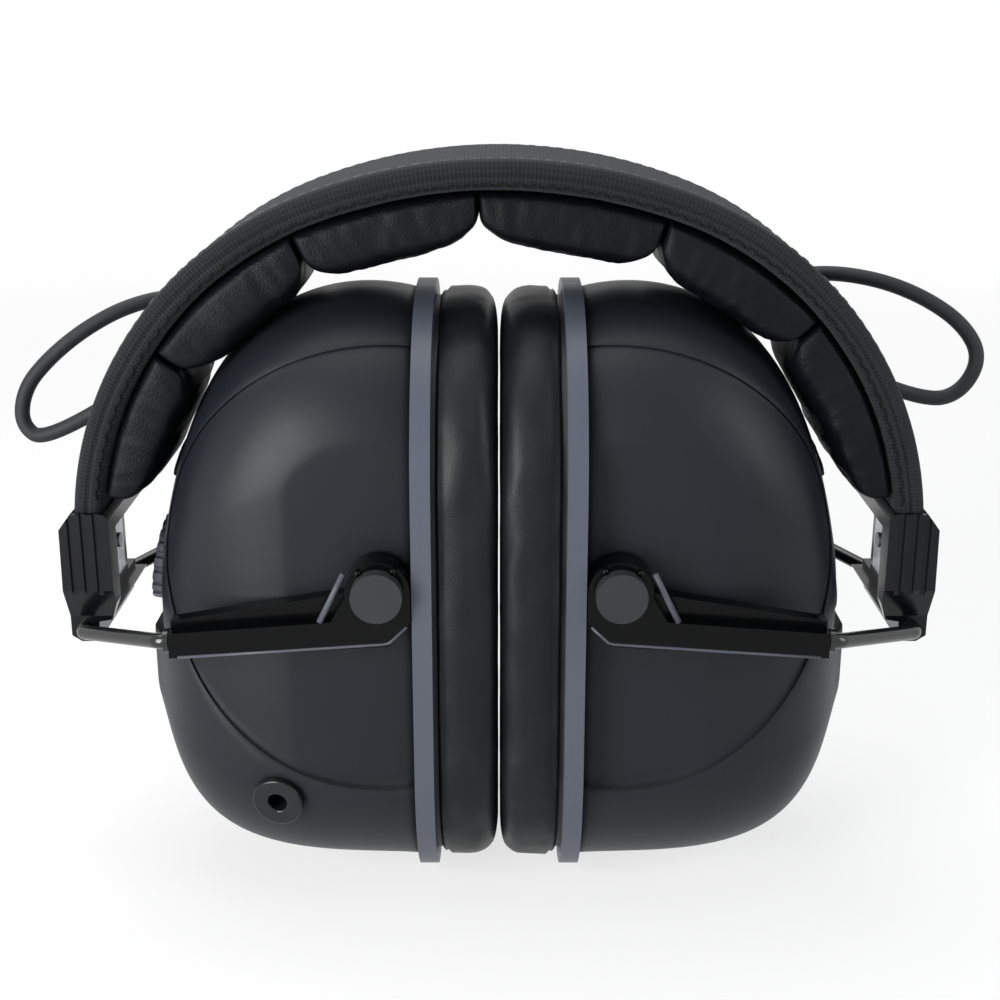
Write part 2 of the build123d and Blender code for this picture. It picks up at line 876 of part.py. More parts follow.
with BuildPart() as ear_foam:
    with BuildSketch(Plane.YZ.offset(ring_back - ear_foam_thickness)):
        with Locations((0, cup_center)):
            RectangleRounded(
                2 * (ear_half_width - soft_gap),
                2 * (ear_half_height - soft_gap),
                ear_corner - soft_gap,
            )
    extrude(amount=ear_foam_thickness)
both_sides("ear_foam", ear_foam.part)

damper_x = ring_back + baffle_thickness + speaker_depth + soft_gap


def damper(tube_hole):
    """Block of sound-absorbing foam behind the speaker."""
    with BuildPart() as block_of_foam:
        with BuildSketch(Plane.YZ.offset(damper_x)):
            with Locations((0, cup_center)):
                RectangleRounded(2 * damper_half_width, 2 * damper_half_height, damper_corner)
        extrude(amount=damper_thickness)
        if tube_hole:
            round_bar(face_plane(-cup_height), cup_height, tube_hole, Mode.SUBTRACT)
    return block_of_foam.part


tube_radius = cell_radius + loose + tube_wall
finish("right_damper_foam", damper(tube_radius + soft_gap))
finish("left_damper_foam", mirrored(damper(0)))

with BuildPart() as mic:
    round_bar(mic_plane(-screen_depth - mic_depth), mic_depth, mic_radius)
both_sides("microphone", mic.part)

with BuildPart() as screen:
    round_bar(mic_plane(-screen_depth), screen_depth + soft_gap, screen_radius - soft_gap)
both_sides("wind_screen", screen.part)

# ---------------------------------------------------------------- left cup: volume and audio socket
with BuildPart() as knob:
    round_bar(face_plane(arm_gap), knob_thickness, knob_radius)
    with BuildSketch(face_plane(arm_gap + knob_base)):
        with PolarLocations(knob_radius, knob_ribs):
            Circle(knob_groove_radius)
    extrude(amount=knob_thickness, mode=Mode.SUBTRACT)
    round_bar(face_plane(arm_gap), knob_thickness / 2, shaft_radius, Mode.SUBTRACT)
finish("volume_knob", mirrored(knob.part))

with BuildPart() as shaft:
    bottom = -dish_boss - pot_thickness / 2
    round_bar(face_plane(bottom), arm_gap + knob_thickness / 2 - bottom, shaft_radius)
finish("volume_shaft", mirrored(shaft.part))

with BuildPart() as pot:
    round_bar(face_plane(-dish_boss - pot_thickness), pot_thickness, pot_radius)
    round_bar(face_plane(-dish_boss - pot_thickness / 2), pot_thickness, shaft_radius + running, Mode.SUBTRACT)
finish("volume_control", mirrored(pot.part))

with BuildPart() as board:
    with BuildSketch(face_plane(-dish_boss - pot_thickness - board_thickness)):
        Rectangle(board_width, board_height)
    extrude(amount=board_thickness)
finish("circuit_board", mirrored(board.part))

with BuildPart() as jack:
    round_bar(jack_plane(-jack_depth), jack_depth - jack_bezel / 2, jack_body_radius)
    round_bar(jack_plane(-jack_depth + 2), jack_depth, jack_bore_radius, Mode.SUBTRACT)
finish("audio_socket", mirrored(jack.part))

with BuildPart() as bezel:
    round_bar(jack_plane(-jack_bezel / 2), jack_bezel, jack_radius)
    round_bar(jack_plane(-jack_bezel), 3 * jack_bezel, jack_bore_radius, Mode.SUBTRACT)
    fillet(bezel.faces().sort_by(Axis.Y)[0].edges(), 0.4)
finish("audio_socket_bezel", mirrored(bezel.part))

# ---------------------------------------------------------------- right cup: battery
tube_length = cell_length + spring_length + loose
with BuildPart() as tube:
    round_bar(face_plane(-dish_boss - tube_length - tube_wall), tube_length + tube_wall, tube_radius)
    round_bar(face_plane(-dish_boss - tube_length), tube_length, cell_radius + loose, Mode.SUBTRACT)
finish("battery_tube", tube.part)

with BuildPart() as cell:
    round_bar(face_plane(-dish_boss - cell_length), cell_length, cell_radius)
finish("battery_cell", cell.part)

with BuildPart() as spring:
    with BuildSketch(face_plane(-dish_boss - tube_length)):
        Circle(cell_radius - spring_inset)
        Circle(cell_radius - spring_inset - spring_wire, mode=Mode.SUBTRACT)
    extrude(amount=spring_length)
finish("battery_spring", spring.part)

with BuildPart() as cap:
    round_bar(face_plane(loose), cap_thickness, dish_radius - slip)
    round_bar(face_plane(loose - dish_boss + slip), dish_boss, cell_radius)
    with BuildSketch(face_plane(loose + cap_thickness - cap_slot_depth)):
        Rectangle(cap_slot_width, cap_slot_length)
    extrude(amount=cap_thickness, mode=Mode.SUBTRACT)
finish("battery_cap", cap.part)

# ---------------------------------------------------------------- cables
def cord_radii(points):
    """A bend radius for each corner, from the shorter of its two runs and its turn."""
    radii = []
    for before, corner, after in zip(points[:-2], points[1:-1], points[2:]):
        way_in = Vector(*corner) - Vector(*before)
        way_out = Vector(*after) - Vector(*corner)
        half_turn = radians(way_in.get_angle(way_out)) / 2
        radii.append(0.45 * min(way_in.length, way_out.length) / tan(half_turn))
    return radii


def cable(name, side, frame, first_run, corners, last_run):
    """The lead from the band's exit, out, over and down behind the cup to the rear arm's relief."""
    way, end = frame[3], frame[4]
    tip = relief_plane().offset(relief_length)
    route = [(end.X, channel_y, end.Y)]
    route.append((end.X + way.X * first_run, channel_y, end.Y + way.Y * first_run))
    route.extend(corners)
    turn_in = tip.offset(last_run).origin
    route.append((turn_in.X, turn_in.Y, turn_in.Z))
    route.append((tip.origin.X, tip.origin.Y, tip.origin.Z))
    radii = cord_radii(route)
    print(name, "bend radii", [round(r, 1) for r in radii])
    print(name, "route", [(round(side * x, 2), round(y, 2), round(z, 2)) for x, y, z in route])
    with BuildPart() as lead:
        with BuildLine() as line:
            FilletPolyline(*route, radius=radii)
        with BuildSketch(Plane(origin=line.line @ 0, z_dir=line.line % 0)):
            Circle(cable_radius)
        sweep()
    print(name, "length", round(sum(e.length for e in line.edges()), 1))
    finish(name, lead.part if side > 0 else mirrored(lead.part))


left_corners = [
    (96.0, 13.2, 86.2),
    (95.0, 13.7, 93.4),
    (90.4, 14.9, 99.3),
    (83.0, 16.6, 105.0),
    (74.0, 19.2, 108.8),
    (64.5, 23.2, 109.6),
    (53.5, 28.0, 106.3),
    (51.0, 32.8, 95.0),
    (49.2, 34.2, 82.5),
]
right_corners = [
    (92.4, 13.2, 91.6),
    (95.9, 13.9, 98.5),
    (92.3, 15.2, 105.6),
    (84.6, 17.0, 110.9),
    (75.0, 19.4, 114.3),
    (64.0, 23.0, 114.5),
    (54.0, 27.8, 110.9),
    (51.0, 32.6, 97.5),
    (49.2, 34.2, 84.0),
]
cable("left_cable", -1, left_exit, left_first_run, left_corners, left_last_run)
cable("right_cable", 1, right_exit, right_first_run, right_corners, right_last_run)
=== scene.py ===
"""Folding electronic earmuffs, folded with both cups inside the headband. Metres, row frame."""

import bmesh
import bpy
import math
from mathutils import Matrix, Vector, noise
from mathutils.bvhtree import BVHTree
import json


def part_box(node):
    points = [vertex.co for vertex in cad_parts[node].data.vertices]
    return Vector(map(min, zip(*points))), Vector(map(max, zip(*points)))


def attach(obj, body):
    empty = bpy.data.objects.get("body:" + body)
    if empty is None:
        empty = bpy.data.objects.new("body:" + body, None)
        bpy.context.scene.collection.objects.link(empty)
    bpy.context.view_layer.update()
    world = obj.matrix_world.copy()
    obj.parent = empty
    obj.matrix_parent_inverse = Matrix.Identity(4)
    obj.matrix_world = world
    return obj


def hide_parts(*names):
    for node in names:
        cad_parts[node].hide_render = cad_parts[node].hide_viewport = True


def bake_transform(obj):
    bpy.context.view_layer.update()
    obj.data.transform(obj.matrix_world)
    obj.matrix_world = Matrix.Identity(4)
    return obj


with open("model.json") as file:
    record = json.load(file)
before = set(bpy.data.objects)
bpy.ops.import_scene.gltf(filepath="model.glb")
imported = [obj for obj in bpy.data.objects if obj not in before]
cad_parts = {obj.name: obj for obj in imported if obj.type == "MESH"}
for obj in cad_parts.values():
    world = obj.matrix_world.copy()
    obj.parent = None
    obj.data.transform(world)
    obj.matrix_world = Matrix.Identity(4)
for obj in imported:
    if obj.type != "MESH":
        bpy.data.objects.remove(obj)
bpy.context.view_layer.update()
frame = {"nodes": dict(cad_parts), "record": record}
nodes = frame["nodes"]
record = frame["record"]
SIDES = (("left", -1), ("right", 1))


def mm(*v):
    return Vector(v) / 1000


# ---------------------------------------------------------------- camera
cam_data = bpy.data.cameras.new("camera")
cam_data.lens = 55.8
cam_data.sensor_width = 36
cam_data.shift_x = 0.001
cam_data.clip_start = 0.01
camera = bpy.data.objects.new("camera", cam_data)
bpy.context.collection.objects.link(camera)
camera.location = (0, -0.2886, 0.165)
camera.rotation_euler = (math.radians(90 - 17.64), 0, 0)
bpy.context.scene.camera = camera
bpy.context.scene.view_settings.view_transform = "Standard"


# ---------------------------------------------------------------- materials
class Tree:
    """A short way to write a node tree for one material."""

    def __init__(self, name, base, rough, metal=0.0, specular=0.5):
        self.mat = bpy.data.materials.new(name)
        self.mat.use_nodes = True
        self.nt = self.mat.node_tree
        self.bsdf = self.nt.nodes["Principled BSDF"]
        self.bsdf.inputs["Base Color"].default_value = (*base, 1)
        self.bsdf.inputs["Roughness"].default_value = rough
        self.bsdf.inputs["Metallic"].default_value = metal
        self.bsdf.inputs["Specular IOR Level"].default_value = specular
        self.coord = self.nt.nodes.new("ShaderNodeTexCoord")

    def node(self, kind, **values):
        n = self.nt.nodes.new(kind)
        for key, value in values.items():
            if hasattr(n, key):
                setattr(n, key, value)
            else:
                n.inputs[key.replace("_", " ")].default_value = value
        return n

    def link(self, a, b):
        self.nt.links.new(a, b)

    def place(self, scale=(1, 1, 1), uv=False):
        m = self.node("ShaderNodeMapping")
        m.inputs["Scale"].default_value = scale
        self.link(self.coord.outputs["UV" if uv else "Object"], m.inputs["Vector"])
        return m.outputs["Vector"]

    def noise(self, scale, detail=2.0, rough=0.5, stretch=(1, 1, 1)):
        n = self.node("ShaderNodeTexNoise", Scale=scale, Detail=detail, Roughness=rough)
        self.link(self.place(stretch), n.inputs["Vector"])
        return n.outputs["Fac"]

    def voronoi(self, scale, feature="DISTANCE_TO_EDGE"):
        n = self.node("ShaderNodeTexVoronoi", feature=feature, Scale=scale)
        self.link(self.place(), n.inputs["Vector"])
        return n.outputs["Distance"]

    def wave(self, scale, direction, uv, distortion):
        n = self.node(
            "ShaderNodeTexWave", bands_direction=direction, Scale=scale, Distortion=distortion
        )
        self.link(self.place((1, 1, 1), uv), n.inputs["Vector"])
        return n.outputs["Fac"]

    def math(self, operation, a, b=None, clamp=False):
        n = self.node("ShaderNodeMath", operation=operation, use_clamp=clamp)
        for i, v in enumerate((a, b)):
            if v is None:
                continue
            if isinstance(v, (int, float)):
                n.inputs[i].default_value = v
            else:
                self.link(v, n.inputs[i])
        return n.outputs[0]

    def ramp(self, source, lo, hi, a=0.0, b=1.0):
        n = self.node("ShaderNodeMapRange")
        n.inputs["From Min"].default_value = lo
        n.inputs["From Max"].default_value = hi
        n.inputs["To Min"].default_value = a
        n.inputs["To Max"].default_value = b
        self.link(source, n.inputs["Value"])
        return n.outputs["Result"]

    def tint(self, factor, other):
        """Mixes the base colour so far towards another by a factor."""
        mix = self.node("ShaderNodeMix", data_type="RGBA")
        self.link(factor, mix.inputs["Factor"])
        socket = self.bsdf.inputs["Base Color"]
        if socket.is_linked:
            self.link(socket.links[0].from_socket, mix.inputs[6])
        else:
            mix.inputs[6].default_value = socket.default_value
        mix.inputs[7].default_value = (*other, 1)
        self.link(mix.outputs[2], socket)

    def rough(self, source, a, b):
        self.link(self.ramp(source, 0, 1, a, b), self.bsdf.inputs["Roughness"])

    def bump(self, source, distance):
        """Adds a bump of this height in metres."""
        n = self.node("ShaderNodeBump", Strength=1.0, Distance=distance)
        self.link(source, n.inputs["Height"])
        socket = self.bsdf.inputs["Normal"]
        if socket.is_linked:
            self.link(socket.links[0].from_socket, n.inputs["Normal"])
        self.link(n.outputs["Normal"], socket)


GRAIN_SCALE = 2600
WORN = 0.12
CREASE_SAMPLES = 6


def lighter(base, factor, lift=0.0):
    return tuple(c * factor + lift for c in base)


def plastic(name, base, rough, grain=0.00002, specular=0.3, soft=0.0):
    """Moulded plastic: fine grain, faint handling marks, uneven gloss, softened creases."""
    t = Tree(name, base, rough, specular=specular)
    if soft:
        crease = t.node("ShaderNodeBevel", samples=CREASE_SAMPLES, Radius=soft)
        t.link(crease.outputs["Normal"], t.bsdf.inputs["Normal"])
    t.tint(t.ramp(t.noise(28, 4), 0.4, 0.8, 0, 0.35), lighter(base, 1.35, 0.001))
    patches = t.ramp(t.noise(60, 3), 0.5, 0.75)
    scuffs = t.ramp(t.noise(900, 3, 0.7, (1, 1, 0.15)), 0.5, 0.8)
    rub = t.math("MULTIPLY", patches, scuffs, True)
    t.tint(t.math("MULTIPLY", rub, WORN), lighter(base, 2.2, 0.008))
    t.rough(t.noise(45, 5, 0.6), rough - 0.05, rough + 0.08)
    t.bump(t.noise(GRAIN_SCALE, 2), grain)
    t.bump(t.noise(70, 2), 0.00003)
    return t.mat


def leatherette(name, base, rough, cell, depth, wrinkle, specular):
    """Coated cloth: uneven tone and gloss, soft wrinkles, pebbled grain, depths in metres."""
    t = Tree(name, base, rough, specular=specular)
    t.tint(t.ramp(t.noise(55, 4), 0.4, 0.8, 0, 0.5), lighter(base, 2.1, 0.003))
    t.rough(t.noise(140, 3), rough - 0.06, rough + 0.10)
    t.bump(t.noise(110, 3, 0.5), wrinkle)
    t.bump(t.ramp(t.voronoi(cell), 0, 0.25), depth)
    t.bump(t.noise(5200, 1), 0.00002)
    return t.mat


def webbing(name, base, light, pitch):
    """Woven fabric: warp and weft from the piece's own unwrapped lengths, in metres."""
    t = Tree(name, base, 0.85, specular=0.2)
    t.bsdf.inputs["Sheen Weight"].default_value = 0.05
    t.bsdf.inputs["Sheen Roughness"].default_value = 0.5
    threads = math.pi / 10 / pitch
    warp = t.wave(threads, "X", True, 0.6)
    weft = t.wave(threads * 0.8, "Y", True, 0.6)
    cross = t.math("MAXIMUM", warp, t.math("MULTIPLY", weft, 0.8))
    t.tint(t.ramp(cross, 0.2, 0.95, 0, 0.55), light)
    t.tint(t.ramp(t.noise(90, 4, 0.6), 0.42, 0.75, 0, 0.4), lighter(base, 0.5))
    fuzz = t.noise(6500, 2, 0.7)
    t.tint(t.ramp(fuzz, 0.5, 0.8, 0, 0.35), lighter(light, 1.5))
    t.bump(cross, 0.00012)
    t.bump(fuzz, 0.00004)
    return t.mat


def foam(name, base):
    """Open-cell foam whose pore hollows are painted darker, as painted shade."""
    t = Tree(name, base, 0.95, specular=0.1)
    pores = t.ramp(t.voronoi(1100, "F1"), 0.1, 0.6)
    # painted shade: the pore hollows are darkened
    t.tint(t.math("SUBTRACT", 1.0, pores, True), lighter(base, 0.25))
    t.tint(t.ramp(t.noise(70, 3), 0.4, 0.8, 0, 0.4), lighter(base, 1.5))
    t.bump(pores, 0.0003)
    t.bump(t.noise(900, 3), 0.0002)
    return t.mat


def metal(name, base, rough, brushed=(1, 1, 1)):
    """Bare metal with tarnish and fine scratches, drawn out along the brushed direction."""
    t = Tree(name, base, rough, metal=1.0)
    t.tint(t.ramp(t.noise(45, 4), 0.4, 0.8, 0, 0.5), lighter(base, 0.6))
    t.rough(t.noise(300, 4, 0.6, brushed), rough - 0.05, rough + 0.12)
    t.bump(t.noise(2400, 2, 0.6, brushed), 0.00001)
    return t.mat


def rubber(name, base, rough=0.62):
    t = Tree(name, base, rough, specular=0.35)
    t.tint(t.ramp(t.noise(70, 4), 0.42, 0.78, 0, 0.5), lighter(base, 1.8, 0.004))
    t.rough(t.noise(120, 3), rough - 0.08, rough + 0.12)
    t.bump(t.noise(1900, 3), 0.00003)
    return t.mat


def thread(name, base):
    t = Tree(name, base, 0.8, specular=0.2)
    t.tint(t.ramp(t.noise(800, 3), 0.4, 0.7, 0, 0.5), lighter(base, 0.6))
    t.bump(t.wave(1400, "DIAGONAL", False, 0.3), 0.00006)
    return t.mat


M = {
    "shell": plastic("shell_plastic", (0.0072, 0.0090, 0.0122), 0.42, specular=0.2, soft=0.003),
    "ring": plastic("ring_plastic", (0.056, 0.064, 0.083), 0.40, 0.00001),
    "arm": plastic("arm_plastic", (0.0008, 0.0009, 0.0012), 0.2, 0.00001, specular=0.13),
    # painted highlight: the lips' lighter grey stands for highlights along the black arms' edges
    "arm_edge": plastic("arm_edge_plastic", (0.055, 0.060, 0.072), 0.35, 0.00001),
    "block": plastic("block_plastic", (0.0022, 0.0026, 0.0036), 0.2, 0.00001, specular=0.22),
    "inner": plastic("inner_plastic", (0.03, 0.03, 0.033), 0.5),
    "pin": plastic("pin_plastic", (0.018, 0.0195, 0.0225), 0.42, 0.00001, specular=0.25),
    "socket": plastic("socket_plastic", (0.007, 0.0075, 0.0085), 0.22, 0.00001),
    "band": webbing("cover_fabric", (0.0030, 0.0038, 0.0048), (0.018, 0.022, 0.026), 0.00075),
    "pad": leatherette(
        "pad_leather", (0.0014, 0.0021, 0.0034), 0.46, 1400, 0.00003, 0.0001, 0.12
    ),
    "cushion": leatherette(
        "cushion_leather", (0.0030, 0.0038, 0.0048), 0.42, 1500, 0.00001, 0.0001, 0.2
    ),
    "foam": foam("open_foam", (0.02, 0.02, 0.021)),
    "spring": metal("spring_steel", (0.42, 0.44, 0.48), 0.22, (1, 40, 1)),
    "wire": plastic("wire_lacquer", (0.006, 0.0062, 0.007), 0.18, 0.000005, specular=0.5),
    "rivet": metal("rivet_steel", (0.35, 0.36, 0.37), 0.4),
    "part": metal("metal_part", (0.42, 0.43, 0.45), 0.3),
    "cable": rubber("cable_rubber", (0.0085, 0.0092, 0.0110)),
    "rubber": rubber("soft_rubber", (0.010, 0.010, 0.011), 0.7),
    # painted highlight: the knob is a light blue-grey, standing for light caught by the knob and
    # its dish
    "knob": rubber("knob_rubber", (0.085, 0.095, 0.115), 0.45),
    "board": plastic("board_laminate", (0.015, 0.10, 0.05), 0.35),
    "thread": thread("stitch_thread", (0.11, 0.12, 0.135)),
    "black_thread": thread("black_thread", (0.003, 0.003, 0.0035)),
}
BY_SLOT = {
    "shell_plastic": "shell",
    "ring_plastic": "ring",
    "arm_plastic": "arm",
    "block_plastic": "block",
    "inner_plastic": "inner",
    "cover_fabric": "band",
    "pad_leather": "pad",
    "cushion_leather": "cushion",
    "open_foam": "foam",
    "spring_steel": "spring",
    "wire_steel": "wire",
    "pin_plastic": "pin",
    "rivet_steel": "rivet",
    "cable_rubber": "cable",
    "rubber": "rubber",
    "board": "board",
    "metal_part": "part",
    "socket_plastic": "socket",
}


def paint(obj, key):
    obj.data.materials.clear()
    obj.data.materials.append(M[key])


# nodes that look unlike the rest of their slot; the knob's light blue-grey is a painted highlight
# on the knob and its dish
BY_NODE = {"volume_knob": "knob", "left_wire_collars": "wire", "right_wire_collars": "wire"}
# widths of the softened edges, in mm
BEVELS = {
    "cup_shell": 0.5,
    "cup_ring": 0.55,
    "end_block": 0.5,
    "front_arm": 0.45,
    "rear_arm": 0.45,
    "pivot_pins": 0.6,
    "volume_knob": 0.4,
    "battery_cap": 0.5,
    "wire_collars": 0.2,
    "block_rivets": 0.3,
    "audio_socket_bezel": 0.15,
}
SHARP_ANGLE = 40
for entry in record["subparts"]:
    node = nodes[entry["node"]]
    material = M[BY_NODE.get(entry["node"], BY_SLOT[entry["material_slot"]])]
    for slot in node.material_slots:
        slot.link = "OBJECT"
        slot.material = material
    size = BEVELS.get(entry["node"].replace("left_", "").replace("right_", ""))
    if size:
        bevel = node.modifiers.new("edges", "BEVEL")
        bevel.width = size / 1000
        bevel.segments = 3
        bevel.limit_method = "ANGLE"
        bevel.angle_limit = math.radians(SHARP_ANGLE)
        bevel.harden_normals = True


# ---------------------------------------------------------------- mesh helpers
def mesh_object(name, bm, key, shade=True):
    """An object from a bmesh, which it frees."""
    mesh = bpy.data.meshes.new(name)
    bmesh.ops.recalc_face_normals(bm, faces=bm.faces)
    bm.to_mesh(mesh)
    bm.free()
    obj = bpy.data.objects.new(name, mesh)
    bpy.context.collection.objects.link(obj)
    paint(obj, key)
    if shade:
        for p in mesh.polygons:
            p.use_smooth = True
    return obj


def grid_tube(name, rows, key, closed_rows=False, uv=None):
    """A mesh from rows of points, each a closed loop, capped unless the rows close on themselves.
    uv gives the lengths along the rows and round the loop."""
    bm = bmesh.new()
    layer = bm.loops.layers.uv.new("UVMap") if uv else None
    grid = [[bm.verts.new(p) for p in row] for row in rows]
    n = len(rows[0])
    count = len(rows) if closed_rows else len(rows) - 1
    for i in range(count):
        a, b = grid[i], grid[(i + 1) % len(rows)]
        for j in range(n):
            face = bm.faces.new((a[j], a[(j + 1) % n], b[(j + 1) % n], b[j]))
            if uv:
                corners = ((i, j), (i, j + 1), (i + 1, j + 1), (i + 1, j))
                for loop, (r, c) in zip(face.loops, corners):
                    loop[layer].uv = (uv[0][r], uv[1][c])
    if not closed_rows:
        bm.faces.new(grid[0])
        bm.faces.new(grid[-1])
    return mesh_object(name, bm, key)


def tube(name, points, radius, key, sides):
    """A round mesh tube through points."""
    rows = []
    n = len(points)
    normal = None
    for i, p in enumerate(points):
        t = (points[min(i + 1, n - 1)] - points[max(i - 1, 0)]).normalized()
        if normal is None:
            normal = t.orthogonal().normalized()
        normal = (normal - t * normal.dot(t)).normalized()
        side = t.cross(normal)
        rows.append(
            [
                p + (normal * math.cos(a) + side * math.sin(a)) * radius
                for a in (math.tau * k / sides for k in range(sides))
            ]
        )
    return grid_tube(name, rows, key)


def apply_all(obj):
    """Applies every modifier on the piece to its mesh."""
    graph = bpy.context.evaluated_depsgraph_get()
    done = bpy.data.meshes.new_from_object(obj.evaluated_get(graph))
    obj.modifiers.clear()
    obj.data = done


def join(parts, name, body):
    """Makes one piece of several meshes and rides it on a body."""
    bm = bmesh.new()
    for p in parts:
        bm.from_mesh(p.data)
    mesh = parts[0].data
    bm.to_mesh(mesh)
    bm.free()
    for p in parts[1:]:
        bpy.data.objects.remove(p)
    parts[0].name = name
    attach(parts[0], body)


# ---------------------------------------------------------------- cords
# control points in mm, from the band's grommet to the strain relief on the rear arm
LEFT_ROUTE = [
    (-77.24, 12.6, 89.91), (-91.2, 12.6, 81.4), (-96.2, 13.2, 84.9), (-95.0, 13.7, 92.2),
    (-90.0, 14.9, 98.1), (-82.6, 16.6, 103.9), (-74.0, 19.2, 108.2), (-64.5, 23.2, 109.6),
    (-53.5, 29.0, 106.3), (-51.0, 35.5, 95.0), (-48.8, 40.2, 82.0), (-41.5, 40.2, 71.8),
    (-34.1, 39.0, 69.5), (-30.36, 34.2, 69.61),
]
RIGHT_ROUTE = [
    (76.46, 12.6, 93.38), (85.61, 12.6, 89.87), (92.4, 13.2, 91.6), (95.9, 13.9, 98.5),
    (92.3, 15.2, 104.9), (84.6, 17.0, 110.1), (75.0, 19.4, 113.5), (64.0, 23.0, 114.3),
    (54.0, 28.8, 110.9), (51.0, 35.5, 97.5), (48.8, 40.2, 83.0), (41.5, 40.2, 71.8),
    (34.1, 39.0, 69.5), (30.36, 34.2, 69.61),
]
CORD_DIAMETER = 0.003
CORD_SIDES = 16
# the length of the last stretch, made as a piece of its own, in metres
END_RUN = 0.033
# the point up to which a cable runs along the headband, on the left or right, in mm
HELD_BY_BAND = (66, 22, 110)
# a count of points back from the cable's end
HELD_BY_ARMS = 6


def route_line(name, route):
    """The route's smooth line, as points read from its NURBS spline."""
    data = bpy.data.curves.new(name, "CURVE")
    data.dimensions = "3D"
    data.resolution_u = 24
    spline = data.splines.new("NURBS")
    spline.points.add(len(route) - 1)
    for point, place in zip(spline.points, route):
        point.co = (*mm(*place), 1)
    spline.order_u = 3
    spline.use_endpoint_u = True
    obj = bpy.data.objects.new(name, data)
    bpy.context.collection.objects.link(obj)
    mesh = bpy.data.meshes.new_from_object(obj)
    line = [v.co.copy() for v in mesh.vertices]
    bpy.data.objects.remove(obj)
    return line


def length_of(line):
    return sum((b - a).length for a, b in zip(line[:-1], line[1:]))


for (side, sign), route in zip(SIDES, (LEFT_ROUTE, RIGHT_ROUTE)):
    line = route_line(side + "_line", route)
    cut = next(i for i in range(len(line)) if length_of(line[i:]) < END_RUN)
    bail, arms = side + "_bail", side + "_arms"
    held = mm(sign * HELD_BY_BAND[0], *HELD_BY_BAND[1:])
    for name, part, pair, start, end in (
        ("_side_cable", line[: cut + 1], ("headband", bail), held, line[cut]),
        ("_cable_end", line[cut:], (bail, arms), line[cut], line[-HELD_BY_ARMS]),
    ):
        lead = tube(side + name, part, CORD_DIAMETER / 2, "cable", CORD_SIDES)
        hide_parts(side + "_cable")
        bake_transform(lead)


# ---------------------------------------------------------------- stage
def lamp(name, place, target, size, power, colour=(1, 1, 1)):
    data = bpy.data.lights.new(name, "AREA")
    data.shape = "RECTANGLE"
    data.size, data.size_y = size
    data.energy = power
    data.color = colour
    obj = bpy.data.objects.new(name, data)
    obj.location = place
    way = Vector(target) - Vector(place)
    obj.rotation_euler = way.to_track_quat("-Z", "Y").to_euler()
    obj.visible_camera = False
    bpy.context.collection.objects.link(obj)


FLOOR_HALF = 30
# the floor glows white for the camera, less so near the object, so that its shadow shows
SHADOW_END, GLOW_START = 0.25, 0.8
GLOW_NEAR, GLOW_FAR = 0.72, 1.0
WORLD_COLOUR, WORLD_LIGHT = (0.95, 0.97, 1.0), 0.22
SEEN_RAYS = ("Is Camera Ray", "Is Glossy Ray", "Is Transmission Ray")


def stage():
    """The floor."""
    bm = bmesh.new()
    bmesh.ops.create_grid(bm, x_segments=2, y_segments=2, size=FLOOR_HALF)
    floor = mesh_object("floor", bm, "shell", False)
    t = Tree("floor_paint", (0.9, 0.9, 0.9), 0.6, specular=0.1)
    floor.data.materials[0] = t.mat
    rays = t.node("ShaderNodeLightPath")
    glow = t.node("ShaderNodeEmission")
    glow.inputs["Color"].default_value = (1, 1, 1, 1)
    mix = t.node("ShaderNodeMixShader")
    out = t.nt.nodes["Material Output"]
    seen = rays.outputs[SEEN_RAYS[0]]
    for kind in SEEN_RAYS[1:]:
        seen = t.math("MAXIMUM", seen, rays.outputs[kind])
    away = t.node("ShaderNodeVectorMath", operation="LENGTH")
    t.link(t.coord.outputs["Object"], away.inputs[0])
    share = t.ramp(away.outputs["Value"], SHADOW_END, GLOW_START, GLOW_NEAR, GLOW_FAR)
    t.link(t.math("MULTIPLY", seen, share), mix.inputs[0])
    t.link(t.bsdf.outputs[0], mix.inputs[1])
    t.link(glow.outputs[0], mix.inputs[2])
    t.link(mix.outputs[0], out.inputs["Surface"])


def studio():
    """A dim world that the camera, reflections and glass see as white."""
    world = bpy.data.worlds.new("studio")
    bpy.context.scene.world = world
    world.use_nodes = True
    nt = world.node_tree
    dim = nt.nodes["Background"]
    dim.inputs["Color"].default_value = (*WORLD_COLOUR, 1)
    dim.inputs["Strength"].default_value = WORLD_LIGHT
    white = nt.nodes.new("ShaderNodeBackground")
    white.inputs["Color"].default_value = (1, 1, 1, 1)
    rays = nt.nodes.new("ShaderNodeLightPath")
    mix = nt.nodes.new("ShaderNodeMixShader")
    seen = rays.outputs[SEEN_RAYS[0]]
    for kind in SEEN_RAYS[1:]:
        either = nt.nodes.new("ShaderNodeMath")
        either.operation = "MAXIMUM"
        nt.links.new(seen, either.inputs[0])
        nt.links.new(rays.outputs[kind], either.inputs[1])
        seen = either.outputs[0]
    nt.links.new(seen, mix.inputs[0])
    nt.links.new(dim.outputs[0], mix.inputs[1])
    nt.links.new(white.outputs[0], mix.inputs[2])
    nt.links.new(mix.outputs[0], nt.nodes["World Output"].inputs["Surface"])


stage()
studio()
# name, place, target, size, watts, colour
lamp("key", (-0.50, -0.55, 0.26), (0, 0, 0.07), (0.34, 0.50), 7.0, (1.0, 0.99, 0.97))
lamp("fill", (0.70, -0.30, 0.40), (0, 0, 0.06), (0.25, 0.5), 2.2, (0.92, 0.96, 1.0))
lamp("card", (-0.20, -0.22, 0.02), (-0.045, -0.03, 0.09), (0.06, 0.16), 0.3)
lamp("top", (-0.1, 0.15, 0.8), (0, 0, 0.06), (0.7, 0.7), 5.0)


